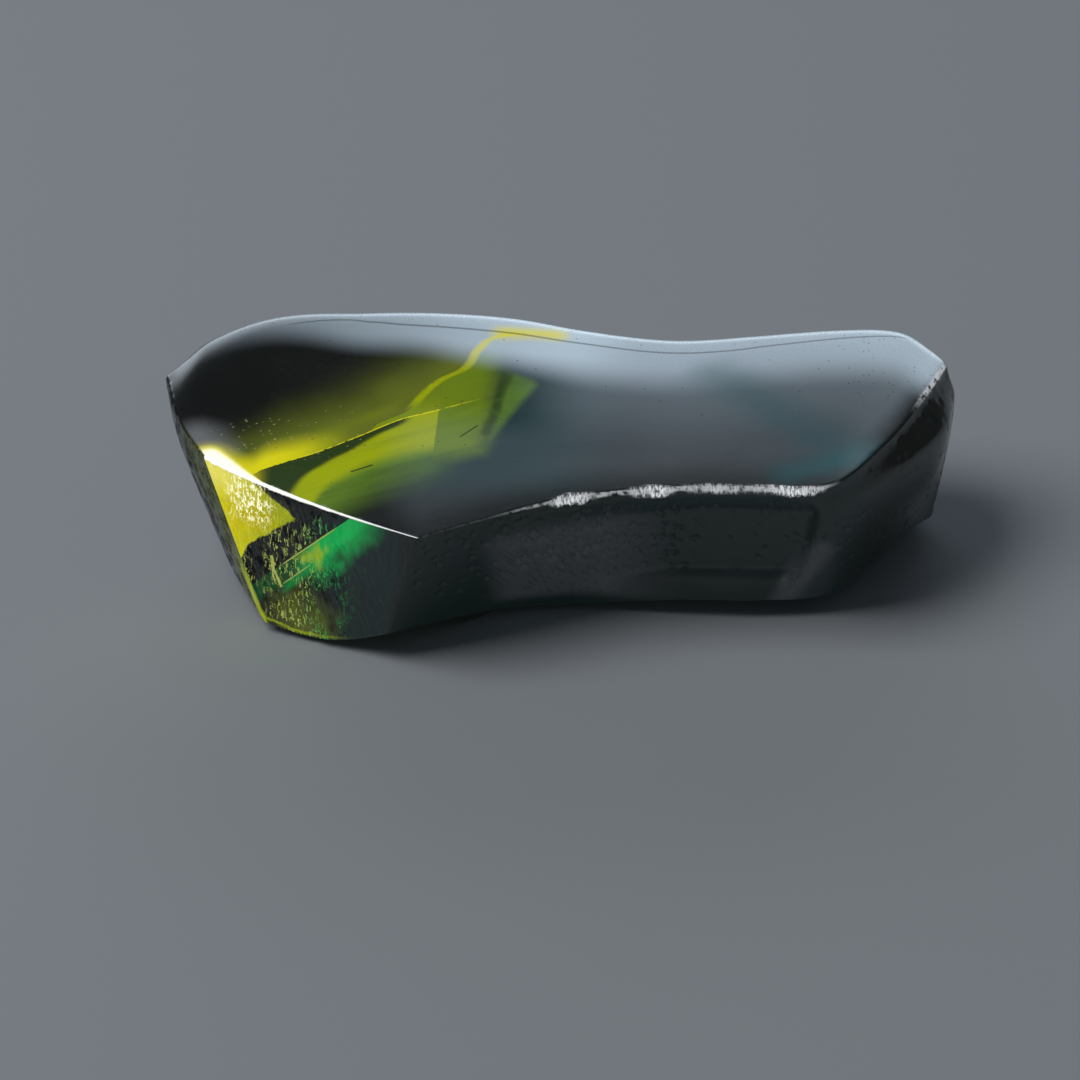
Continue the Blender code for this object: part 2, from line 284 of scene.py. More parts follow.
def side_surface(rim, foot, outward, swell, down):
    """The sides: straight from rim to foot, swollen a third of the way down, hollowed at the front."""
    points = rim + (foot - rim) * down[..., None]
    points = points + outward * (swell * np.sin(np.pi * down**0.6) * ease(-0.02, 0.22, down))[..., None]
    x = points[..., 0]
    rise = ease(HOLLOW_FROM, HOLLOW_FROM + HOLLOW_RISE_LEFT, x)
    end = ease(HOLLOW_TO - HOLLOW_RISE_RIGHT, HOLLOW_TO, x + HOLLOW_SLANT * down**2)
    in_height = ease(0.04, 0.30, down) * (1 - ease(0.76, 0.98, down))
    on_front = points[..., 1] < -1.5
    return points - outward * (HOLLOW_DEPTH * rise * (1 - end) * in_height * on_front)[..., None]


def stone_grid():
    """The smooth stone as a grid of points, from the top's middle over rim and foot to the base's middle.

    The second result holds, for every point: side (0 on the top face to 1 on the sides), under (1 on the
    underside), chip (how broken the rim is there) and the station number.
    """
    at = columns_round()
    rim_flat = through(RIM, CORNER, at)
    foot = through([s[2] for s in STATIONS], CORNER, at)
    measures = through([(s[3], s[4]) for s in STATIONS], [False] * len(STATIONS), at)
    swell, rounding = np.maximum(measures[:, 0], 0), np.maximum(measures[:, 1], 0.05)
    rim = lift(rim_flat)
    turn = np.roll(rim_flat, -1, 0) - np.roll(rim_flat, 1, 0)
    outward = unit(np.column_stack([turn[:, 1], -turn[:, 0], np.zeros(len(at))]))

    in_front = (at > NUMBER["apex"]) & (at < NUMBER["right_tip"])
    ragged = 0.30 + 0.60 * layered_noise(rim / 0.16, 5, 2)
    chip = np.where(in_front, np.maximum(along(CHIP_WIDTH, rim[:, 0]), 0), 0) * ragged
    setback, drop_edge = rounding + 0.55 * chip, rounding + 0.85 * chip

    middle = np.array(TOP_MIDDLE)
    reach = np.linalg.norm(middle - rim_flat, axis=1)
    inner = middle + (rim_flat - middle) * (1 - setback / reach)[:, None]
    share = (np.arange(TOP_ROWS + 1) / TOP_ROWS)[:, None, None] ** 0.8
    top = lift(middle + (inner - middle) * share)

    height = np.linalg.norm(rim - foot, axis=1)
    first, last = drop_edge / height, 1 - FOOT_ROUND / height
    down = first + (last - first) * (np.arange(SIDE_ROWS + 1) / SIDE_ROWS)[:, None]
    sides = side_surface(rim, foot, outward, swell, down)

    t = (np.arange(1, RIM_ROWS + 1) / (RIM_ROWS + 1))[:, None, None]
    chord = (1 - t) * top[-1] + t * sides[0]
    bend = 2 * t * (1 - t) * (rim - (top[-1] + sides[0]) / 2)
    broken = np.clip(chip / 0.06, 0, 1)[None, :, None]
    edge = chord + bend * (1 - 0.9 * broken)

    base_middle = np.array(BASE_MIDDLE)
    inwards = unit(np.column_stack([base_middle - foot[:, :2], np.zeros(len(at))]))
    sole = foot + inwards * FOOT_ROUND
    t = (np.arange(1, FOOT_ROWS + 1) / (FOOT_ROWS + 1))[:, None, None]
    turned_in = (1 - t) ** 2 * sides[-1] + 2 * t * (1 - t) * foot + t**2 * sole
    share = (np.arange(BASE_ROWS + 1) / BASE_ROWS)[:, None]
    flat = sole[:, :2] + (base_middle - sole[:, :2]) * share[..., None]
    base = np.concatenate([flat, (foot[:, 2] * (1 - ease(0, BASE_FLAT_FROM, share)))[..., None]], axis=-1)

    points = np.concatenate([top, edge, sides, turned_in, base])
    parts = [len(top), RIM_ROWS, len(sides), FOOT_ROWS, len(base)]
    rim_share = np.arange(1, RIM_ROWS + 1) / (RIM_ROWS + 1)
    side = np.concatenate([np.zeros(parts[0]), rim_share, np.ones(sum(parts[2:]))])
    under = np.concatenate([np.zeros(sum(parts[:3])), np.linspace(0, 1, FOOT_ROWS), np.ones(parts[4])])
    hump = np.concatenate([np.zeros(parts[0] - 1), [0.5], np.ones(RIM_ROWS), [0.5], np.zeros(sum(parts[2:]) - 1)])
    across = np.ones(len(at))
    fields = {
        "side": side[:, None] * across,
        "under": under[:, None] * across,
        "chip": hump[:, None] * np.clip((chip - 0.02) / 0.12, 0, 1),
        "station": np.ones(len(points))[:, None] * at,
    }
    return points, fields


def cut_by_balls(points):
    """Pushes each point that lies in a flattened ball inwards along its normal, to the ball's far wall.

    In the ball's own measure it is a sphere of radius 1, so the length of the push is the larger root
    of a quadratic.
    """
    for _, middle, halves, turn in CUTS:
        to_ball = np.diag(1 / np.array(halves)) @ np.array(Euler(np.radians(turn), "XYZ").to_matrix()).T
        normals = grid_normals(points)
        start, way = (points - middle) @ to_ball.T, -normals @ to_ball.T
        a, b, c = (way**2).sum(-1), (start * way).sum(-1), (start**2).sum(-1) - 1
        push = (-b + np.sqrt(np.maximum(b * b - a * c, 0))) / a
        points = points - normals * np.where(c < 0, push, 0)[..., None]
    return points


def facet_measures(points):
    """Places on the left facet: how far along its upper edge from the hot corner, and the height."""
    from_corner = points[..., :2] - HOT_CORNER
    return FACET_WAY[0] * from_corner[..., 0] + FACET_WAY[1] * from_corner[..., 1], points[..., 2]


def relief(points, fields, sizes):
    """How far each point is raised (or, if negative, sunk) along its normal.

    The left facet has etched hollows, drawn out up its slope, a step along each of two growth lines and
    fine growth ridges by the apex. The left wall is closely pitted, the front hollow and the right end
    have sparse pits, broken edges are hackly, and the rest has only a faint waviness.
    """
    station, side, under = fields["station"], fields["side"], fields["under"]
    on_side = side * (1 - under)
    facet = span(station, 2.0, 2.03, 3.985, 4.0) * on_side
    wall = span(station, 0.0, 0.2, 1.97, 2.0) * on_side
    front = span(station, 4.0, 4.05, 9.2, 9.8) * on_side
    right = span(station, 9.2, 9.8, 12.3, 12.9) * on_side
    pit_depth, step_height, hackle_height = sizes.pit_depth / MM, sizes.step_height / MM, sizes.hackle / MM

    s, z = facet_measures(points)
    drawn = np.stack([(s + 0.35 * z) / 0.15, (z - 0.25 * s) / 0.30, points[..., 1] / 0.5], axis=-1)
    near, after, lot = seeds_near(drawn, 11)
    etched = -ease(0.75, 0.15, near) * (lot > 0.25) + 0.5 * ease(0.0, 0.25, after - near)
    coarse = layered_noise(points / 0.55, 21, 3) - 0.5
    quiet = ease(3.7, 4.5, s)
    amount = pit_depth * facet * (1 - 0.75 * quiet)
    raised = amount * (etched + 1.2 * coarse)

    upper, second = growth_lines(s, z)
    on_upper = span(upper, -0.03, 0.05, 0.42, 0.75) * span(s, 2.2, 2.5, 4.0, 4.4)
    on_second = span(second, -0.03, 0.04, 0.3, 0.6) * span(s, 2.2, 2.5, 3.1, 3.5)
    raised -= step_height * facet * (on_upper + 0.8 * on_second)
    lean = z + 0.45 * (s - 4.2) + 0.10 * smooth_noise(points / 0.8, 31)
    ridges = np.sin(2 * np.pi * lean / 0.13)
    raised += 0.30 * amount * ridges * ease(3.7, 4.2, s) * (1 - ease(1.2, 1.7, z))

    near, _, lot = seeds_near(points / [0.13, 0.5, 0.16], 12)
    patch = span(points[..., 0], -0.2, 0.3, 3.2, 4.4)
    above_lip = ease(1.05, 1.35, z)
    hole = ease(0.60, 0.2, near) * (lot > 0.84 - 0.22 * patch) * above_lip
    raised -= pit_depth * (1.0 + patch) * front * hole
    near, _, lot = seeds_near(points / 0.17, 13)
    raised -= pit_depth * 0.5 * right * ease(0.6, 0.2, near) * (lot > 0.84)
    near, _, lot = seeds_near(points / [0.10, 0.22, 0.28], 14)
    raised -= pit_depth * 0.7 * wall * ease(0.7, 0.2, near) * (lot > 0.35)
    hackle = layered_noise(points / [0.09, 0.16, 0.16], 41, 2) - 0.5
    raised += hackle_height * fields["chip"] * hackle
    raised += 0.012 * (layered_noise(points / 1.6, 51, 2) - 0.5)
    return raised * (1 - under) - 0.01 * under * layered_noise(points / 0.5, 61, 2) * (points[..., 2] > 0.02)


def growth_lines(s, z):
    """How far below each of the facet's two growth lines a place is."""
    return 1.78 + 0.862 * (s - 2.48) - z, 1.25 + 0.880 * (s - 2.43) - z


def convex(x, y, corners):
    """How far inside a convex outline a place is; its corners are given anticlockwise."""
    depths = []
    for (ax, ay), (bx, by) in zip(corners, corners[1:] + corners[:1]):
        run = np.hypot(bx - ax, by - ay)
        depths.append(((bx - ax) * (y - ay) - (by - ay) * (x - ax)) / run)
    return np.min(depths, axis=0)


def from_stroke(x, y, start, end):
    """The distance to a straight stroke from start to end."""
    start, way = np.array(start), np.subtract(end, start)
    t = np.clip(((x - start[0]) * way[0] + (y - start[1]) * way[1]) / (way @ way), 0, 1)
    return np.hypot(x - start[0] - t * way[0], y - start[1] - t * way[1])


def top_zones(points):
    """Distances and shares for the colours under the top face, as seen in plan.

    A yellow line runs from the hot corner towards the middle, with a haze behind it. Zones of yellow
    and green lie in front of it, an olive zone and a green tip with straight sides lie beyond, and a
    vein climbs from them to the crest.
    """
    x, y, z = np.moveaxis(points, -1, 0)
    wave = layered_noise(points / 1.1, 71, 3) - 0.5
    patchy = 0.65 + 0.7 * layered_noise(points / 0.8, 75, 3)
    xw, yw = x + 0.16 * wave, y + 0.16 * wave
    line = along(
        [(-9.0, -4.9), (-6.04, -3.15), (-5.78, -2.87), (-5.4, -2.65), (-4.53, -2.24), (-3.68, -1.74),
         (-2.82, -1.24), (-2.0, -0.95), (-1.28, -0.67), (1.0, 0.1)], x)
    behind = y - line + 0.05 * wave
    vein_x = along(
        [(-1.5, -3.4), (-0.91, -2.62), (-0.46, -2.32), (-0.02, -1.95), (0.28, -1.47), (0.91, -1.16),
         (1.36, -0.80), (1.70, 0.05), (1.80, 0.55), (3.0, 0.9)], y)
    from_vein = x - vein_x + 0.10 * wave
    left_edge = xw - along(
        [(-5.0, -5.15), (-3.9, -5.03), (-3.53, -4.93), (-3.14, -4.77), (-2.66, -4.38), (-2.2, -3.86),
         (-1.73, -3.34), (-1.2, -2.7)], y)
    under_edge = along(
        [(-5.2, -4.9), (-4.5, -4.24), (-4.33, -3.7), (-3.78, -2.99), (-3.25, -2.59), (-2.71, -2.36),
         (-1.92, -2.17), (1.0, -1.9)], x) - yw
    to_grey = under_edge + (x + 3.0) * 0.35
    crest_y, crest_z = along(CREST_Y, x), along(CREST_Z, x)
    drop = 0.5 * (crest_y - y) + 0.866 * (crest_z - z)  # down from the crest, measured on a slant of 30 degrees
    # Painted sheen: a painted reflection of the light behind, bright just below the crest and fading down the top face
    sheen_end = along(SHEEN_END, x)
    right = ease(-0.8, 1.6, x)
    sheen = ease(sheen_end + 0.22 + 0.20 * right, sheen_end - 0.45, drop) * along(SHEEN_LEVEL, x)
    # A dim painted sheen over the right of the top face and by the front, a painted reflection that fades near the
    # front rim
    by_front = 0.075 * ease(1.9, 2.8, drop) * ease(-3.4, -2.0, x)
    satin = by_front + (0.095 + 0.14 * ease(2.7, 0.8, drop) - by_front) * right
    satin = satin * (0.05 + 0.95 * ease(-0.1, 1.7, y - np.interp(x, *np.array(FRONT_RIM).T)))
    # Where the painted hot spot of light at the hot corner and the painted glow round it lie
    hot_width = 0.42 - 0.37 * np.clip((x + 7.0) / 1.35, 0, 1)
    hot_gap = from_stroke(x, y, (-7.0, -2.48), (-5.60, -3.52))
    along_line = np.stack([(x + 0.42 * y) / 1.3, (y - 0.42 * x) / 0.22, z], axis=-1)
    streaky = layered_noise(along_line, 79, 3)
    speckled = np.minimum(
        from_stroke(x, y, (-6.4, -1.6), (-4.2, -1.4)) - 0.3, from_stroke(x, y, (-5.6, -2.5), (-3.4, -1.7)))
    olive = [(-2.9, -2.55), (-1.35, -2.75), (-0.70, -2.55), (-0.50, -1.24), (-0.55, 0.60), (-0.85, 1.40), (-2.9, 0.90)]
    deep = ease(-3.4, -1.2, x) * ease(2.6, 0.2, x) * ease(-4.6, -3.0, y) * ease(1.2, 0.2, y)
    near_line = ease(0.85 + 0.35 * ease(-4.0, -6.0, x), 0.10, behind)
    far_teal = ease(1.1, 0.0, from_stroke(x + wave * 0.7, y, (4.2, 0.6), (7.3, -2.75)))
    rim_teal = ease(0.9, 0.0, from_stroke(x, y + wave * 0.5, (6.2, -3.5), (7.7, -3.2)))
    crest_gap = from_stroke(x + 0.5 * wave, y + 0.3 * wave, (-0.62, 1.58), (0.45, 1.80))
    return {
        "behind": behind,
        "from_vein": from_vein,
        "haze": clipped(ease(3.0, 0.3, behind) ** 1.5 * ease(-0.3, -1.6, x) * patchy),
        "close": clipped(near_line * ease(-0.9, -3.2, x) * ease(-7.2, -6.4, x) * patchy),
        "vein_haze": clipped(ease(-1.7, -0.05, from_vein) * ease(1.1, 0.1, y) * patchy),
        "beside": ease(0.9, 0.2, from_vein) * ease(-0.5, -0.9, x) * clipped(patchy),
        "wedge": ease(0.10, -0.10, left_edge),
        "yellow_top": ease(-0.08, 0.16, left_edge) * ease(0.40, -0.20, under_edge) * clipped(0.7 + 0.5 * streaky),
        "green_top": ease(-0.02, 0.30, left_edge) * ease(2.3, 0.1, to_grey) * ease(-0.95, -2.2, x)
        * clipped(0.45 + 0.9 * streaky),
        "streaky": streaky,
        "olive": convex(x, y, olive),
        "tip": convex(x, y, [(-0.78, -2.22), (0.26, -0.05), (0.18, 0.14), (-0.56, 0.38)]),
        "shade": from_stroke(x + 0.45 * wave, y, (-0.50, 0.30), (-0.80, -1.7)),
        "teal_top": deep,
        "teal_light": 0.65 * far_teal * patchy + rim_teal,
        "frost": clipped(sheen + satin * (1 - sheen)),
        "hot": hot_gap / hot_width + 0.25 * wave,
        "hot_gap": hot_gap - 0.10 * wave,
        "grey_glow": ease(0.85, 0.0, from_stroke(x + 0.5 * wave, y, (-7.35, -1.6), (-7.0, -2.2))),
        "crest_patch": clipped(ease(0.42, 0.0, crest_gap) * (patchy + 0.1)),
        "speckled": ease(0.6, 0.1, speckled),
    }


def side_zones(points):
    """Distances and shares for the colours behind the left facet, the left wall and the front."""
    s, z = facet_measures(points)
    x = points[..., 0]
    warp = layered_noise(points / 0.30, 81, 3) - 0.5
    upper, second = growth_lines(s, z)
    border = along(
        [(0.0, 0.2), (0.5, 1.05), (1.0, 1.36), (1.22, 1.46), (1.38, 1.86), (1.92, 2.26), (2.34, 2.59),
         (2.85, 2.95), (3.4, 3.5)], s)
    corner_way = unit(np.array([1.35, -1.69, -3.15]))
    from_corner = np.linalg.norm(np.cross(points - (*HOT_CORNER, 3.36), corner_way), axis=-1)
    foot = along([(1.7, 0.24), (2.1, 0.34), (2.8, 0.22), (3.9, 0.30), (4.6, 0.42)], s)
    # Painted reflection: a dim sheen patch on the front, and a lighter strip at the hollow's right end
    satin = ease(-0.9, -0.2, x) * ease(3.8, 1.6, x) * ease(3.05, 2.4, z) * ease(0.35, 0.7, z)
    strip = ease(0.40, 0.05, from_stroke(x, z, (5.75, 0.45), (6.80, 1.95)))
    lip = ease(0.40, 0.10, np.abs(z - 0.65)) * ease(2.0, 3.0, x) * ease(6.2, 5.6, x)
    in_lit = convex(s, z, [(2.9, 1.7), (3.5, 1.9), (3.7, 2.5), (3.35, 2.45), (2.8, 1.95)])
    in_low_glow = convex(s, z, [(2.2, 0.0), (3.7, 0.1), (3.9, 0.8), (3.0, 1.2), (2.2, 0.9)])
    return {
        "yellow": np.minimum(z + 0.20 * warp - border, 3.30 - 0.39 * (s - 1.87) - z + 0.1 * warp),
        "warm": ease(-0.4, 0.4, convex(s, z, [(0.9, 2.1), (1.9, 2.35), (2.2, 2.8), (1.5, 3.2), (0.8, 3.2)])),
        "band": ease(0.12, -0.05, second + 0.3 * warp) * ease(5.0, 4.3, s) * (0.12 + 0.88 * ease(2.5, 3.5, s)),
        "right_band": ease(1.35, 0.30, upper + 0.9 * warp) * ease(3.1, 3.5, s) * ease(5.6, 4.6, s),
        "lit": ease(-0.12, 0.12, in_lit) * ease(-0.1, 0.2, warp),
        "low_band": ease(0.34, 0.16, second) * ease(2.3, 2.6, s) * ease(3.6, 3.2, s),
        "low_glow": ease(-0.35, 0.35, in_low_glow) * clipped(0.7 + 1.5 * warp),
        "glint": ease(-0.30, 0.15, convex(s, z, [(1.0, 2.6), (1.8, 2.6), (2.0, 3.0), (1.6, 3.5), (0.8, 3.5)])),
        "from_corner": from_corner,
        "fleck_patch": ease(0.36, 0.62, layered_noise(points / [0.42, 0.42, 0.60], 91, 3) + 0.10 * ease(1.2, 2.0, z)),
        "from_foot": np.abs(z - foot),
        "satin": 0.75 * satin + 0.7 * strip,
        "lip": lip,
    }


def numbered_on(station):
    """The station numbers run on through 0 at the left tip, and jump where near, a share, is 0."""
    past_back = station > NUMBER["back_saddle"]
    number = np.where(past_back, station - len(STATIONS), station)
    return {"number": number, "near": 1.0 * ((number > -1) & (number < NUMBER["right_back"]))}


def put_in_mesh(name, points, fields, origin):
    """One closed mesh from the grid: its first and last rows are single points, and columns close round.

    The fields go in by threes, as vectors, because a render reads few attributes faster than many.
    """
    rows, columns = points.shape[:2]
    body = points[1:-1]
    places = np.concatenate([points[:1, 0], body.reshape(-1, 3), points[-1:, 0]])
    first = 1 + np.arange(rows - 3)[:, None] * columns + np.arange(columns)[None]
    right = 1 + np.arange(rows - 3)[:, None] * columns + (np.arange(columns)[None] + 1) % columns
    quads = np.stack([first, first + columns, right + columns, right], axis=-1).reshape(-1, 4)
    ring = np.arange(columns)
    top = np.stack([np.zeros_like(ring), 1 + ring, 1 + (ring + 1) % columns], axis=-1)
    last = len(places) - 1 - columns
    bottom = np.stack([np.full_like(ring, len(places) - 1), last + (ring + 1) % columns, last + ring], axis=-1)
    mesh = bpy.data.meshes.new(name)
    mesh.from_pydata((places - origin) * MM, [], [*top.tolist(), *quads.tolist(), *bottom.tolist()])
    mesh.polygons.foreach_set("use_smooth", [True] * len(mesh.polygons))
    for start in range(0, len(fields), 3):
        three = np.zeros((rows, columns, 3))
        for slot, field in enumerate(list(fields.values())[start:start + 3]):
            three[..., slot] = field
        values = np.concatenate([three[:1, 0], three[1:-1].reshape(-1, 3), three[-1:, 0]]).astype(np.float32)
        mesh.attributes.new(f"zones_{start // 3}", "FLOAT_VECTOR", "POINT").data.foreach_set("vector", values.ravel())
    mesh.validate()
    stone = bpy.data.objects.new(name, mesh)
    bpy.context.scene.collection.objects.link(stone)
    return stone


class Wire:
    """A shader socket in a Python expression: each operator adds its Math node."""

    def __init__(self, nodes, socket):
        self.nodes, self.socket = nodes, socket

    def math(self, operation, *values):
        return self.nodes.add("Math", {"operation": operation}, dict(enumerate(values)))

    def __add__(self, other):
        return self.math("ADD", self, other)

    __radd__ = __add__

    def __sub__(self, other):
        return self.math("SUBTRACT", self, other)

    def __rsub__(self, other):
        return self.math("SUBTRACT", other, self)

    def __mul__(self, other):
        return self.math("MULTIPLY", self, other)

    __rmul__ = __mul__

    def __truediv__(self, other):
        return self.math("DIVIDE", self, other)

    def __abs__(self):
        return self.math("ABSOLUTE", self)

    def __gt__(self, other):
        return self.math("GREATER_THAN", self, other)

    def __lt__(self, other):
        return self.math("LESS_THAN", self, other)

    def larger(self, other):
        return self.math("MAXIMUM", self, other)


class Nodes:
    """A node tree that is built by expressions."""

    def __init__(self, tree, fields=()):
        self.tree, self.fields = tree, list(fields)
        tree.nodes.clear()

    def add(self, kind, settings, inputs, output=0):
        """A ShaderNode of that kind: its settings are set first, then its sockets' values or links."""
        node = self.tree.nodes.new("ShaderNode" + kind)
        for name, value in settings.items():
            if name == "points":
                for place, height in value[1:-1]:
                    node.mapping.curves[0].points.new(place, height)
                for point, (place, height) in zip(node.mapping.curves[0].points, sorted(value)):
                    point.location = (place, height)
                node.mapping.update()
            else:
                setattr(node, name, value)
        for name, value in inputs.items():
            if isinstance(value, Wire):
                self.tree.links.new(value.socket, node.inputs[name])
            else:
                node.inputs[name].default_value = value
        return Wire(self, node.outputs[output])

    def mix(self, factor, first, second):
        """The first colour where factor is 0 and the second where it is 1."""
        inputs = {0: factor}
        for slot, colour in ((6, first), (7, second)):
            inputs[slot] = colour if isinstance(colour, Wire) else (*colour[:3], 1.0)
        return self.add("Mix", {"data_type": "RGBA"}, inputs, 2)

    def layers(self, base, *pairs):
        """Colours laid over the base in turn, each where its share is 1."""
        for factor, colour in pairs:
            base = self.mix(factor, base, colour)
        return base

    def ease(self, value, low, high):
        """0 at low, 1 at high, and a smooth rise or fall between."""
        sockets = {"Value": value, "From Min": low, "From Max": high}
        return self.add("MapRange", {"interpolation_type": "SMOOTHSTEP"}, sockets)

    def curve(self, value, pairs):
        """A smooth function of value through the pairs."""
        xs, ys = np.array(pairs).T
        wide, tall = xs[-1] - xs[0], max(np.ptp(ys), 1e-6)
        points = [((x - xs[0]) / wide, (y - ys.min()) / tall) for x, y in pairs]
        bent = self.add("FloatCurve", {"points": points}, {"Value": (value - xs[0]) / wide})
        return bent * tall + ys.min()

    def stroke(self, x, y, start, end, half, soft):
        """1 on a straight stroke from start to end, half as wide as it says on each side."""
        (ax, ay), (bx, by) = start, end
        run = np.hypot(bx - ax, by - ay)
        ux, uy = (bx - ax) / run, (by - ay) / run
        forward = x * ux + (y * uy - (ax * ux + ay * uy))
        past = abs(forward - run / 2) - run / 2
        aside = abs(x * -uy + (y * ux - (ay * ux - ax * uy)))
        gap = past.larger(aside)
        return self.ease(gap, half + soft, half)

    def noise(self, vector, size, detail):
        return self.add("TexNoise", {}, {"Vector": vector, "Scale": 1 / size, "Detail": detail})

    def cells(self, across, up):
        """The distance to the nearest of random seeds in a plane, and that seed's lot from 0 to 1."""
        sockets = {"Vector": self.vector(across, up, 0.0), "Scale": 1.0}
        distance = self.add("TexVoronoi", {"voronoi_dimensions": "2D"}, sockets, "Distance")
        colour = Wire(self, distance.socket.node.outputs["Color"])
        return {"Distance": distance, "Lot": self.add("SeparateColor", {}, {0: colour})}

    def field(self, name):
        """One of the mesh's fields, which are stored by threes."""
        three, slot = divmod(self.fields.index(name), 3)
        settings = {"attribute_type": "GEOMETRY", "attribute_name": f"zones_{three}"}
        return self.add("SeparateXYZ", {}, {0: self.add("Attribute", settings, {}, "Vector")}, slot)

    def scaled(self, vector, by):
        return self.add("VectorMath", {"operation": "MULTIPLY"}, {0: vector, 1: by})

    def vector(self, x, y, z):
        return self.add("CombineXYZ", {}, {0: x, 1: y, 2: z})


def size_property(name, description, value):
    return FloatProperty(name=name, description=description, default=value, unit="LENGTH", precision=6)


class SapphireSizes(bpy.types.PropertyGroup):
    pit_depth: size_property("Pit depth", "Depth of the etched hollows on the left facet", 0.000060)
    step_height: size_property("Growth step", "Height of the steps along the facet's growth lines", 0.000060)
    hackle: size_property("Hackle", "Height of the ridges on broken edges", 0.000070)
    etch_bump: size_property("Fine etching", "Height of the finest etch marks, too small for the mesh", 0.000030)


def colour_property(name, description, value):
    return FloatVectorProperty(name=name, description=description, default=value, subtype="COLOR", size=3, min=0, max=1)


class SapphireColours(bpy.types.PropertyGroup):
    body: colour_property("Body", "The dark crystal", (0.004, 0.0048, 0.0042))
    haze: colour_property("Olive haze", "Yellow seen through dark crystal", (0.126, 0.156, 0.013))
    yellow: colour_property("Yellow zone", "The clear yellow zone", (0.35, 0.42, 0.0))
    amber: colour_property("Amber", "The warm middle of the yellow zone", (0.62, 0.42, 0.004))
    olive: colour_property("Olive zone", "The olive zone between yellow and green", (0.15, 0.235, 0.006))
    green: colour_property("Green zone", "The green zone", (0.13, 0.25, 0.014))
    pine: colour_property("Pine green", "The dark green wedge", (0.022, 0.046, 0.006))
    teal: colour_property("Teal zone", "The blue-green zone", (0.004, 0.026, 0.028))
    teal_light: colour_property("Teal light", "The faint blue-green streak under the top", (0.006, 0.075, 0.088))
    # Painted light: the bluish painted sheen of the crest, a reflection of the light behind
    frost: colour_property("Frost", "The worn crest", (0.5, 0.62, 0.73))
    # Painted light: the dim painted sheen of the top and front
    satin: colour_property("Satin", "The worn front", (0.03, 0.033, 0.038))
    fleck: colour_property("Flecks", "Light in the etch marks", (0.48, 0.56, 0.11))
    speck: colour_property("Specks", "Bright specks under the top", (0.45, 0.46, 0.2))
    emerald: colour_property("Emerald", "The emerald band on the left facet", (0.0, 0.42, 0.075))
    # Glow is the bright yellow of the clear zone, also used for painted glow; hot is a painted hot spot of light
    glow: colour_property("Glow", "The bright yellow round the lit corner", (0.8, 0.74, 0.004))
    hot: colour_property("Hot corner", "The brightest corner", (1.0, 0.93, 0.2))
    lime: colour_property("Lime", "The yellow-green patch in the emerald band", (0.3, 0.44, 0.01))
    edge: colour_property("Lit edge", "The thin bright line along the left facet's upper edge", (0.8, 0.84, 0.88))
    # Broken edges are painted near white: partly their own pale broken surface, partly painted glints
    broken: colour_property("Broken edge", "Freshly broken edges", (0.95, 0.965, 1.0))


def light_property(name, description, value):
    return FloatProperty(name=name, description=description, default=value, min=0)


class SapphireStage(bpy.types.PropertyGroup):
    floor: colour_property("Floor", "The plain floor", (0.54, 0.58, 0.62))
    back_light: light_property("Back light", "Brightness of the wide light behind", 2.0)
    around_light: light_property("Light around", "Brightness of the rest of the room", 0.05)
    key_light: light_property("Key light", "Brightness of the soft light above, to the left", 2.2)


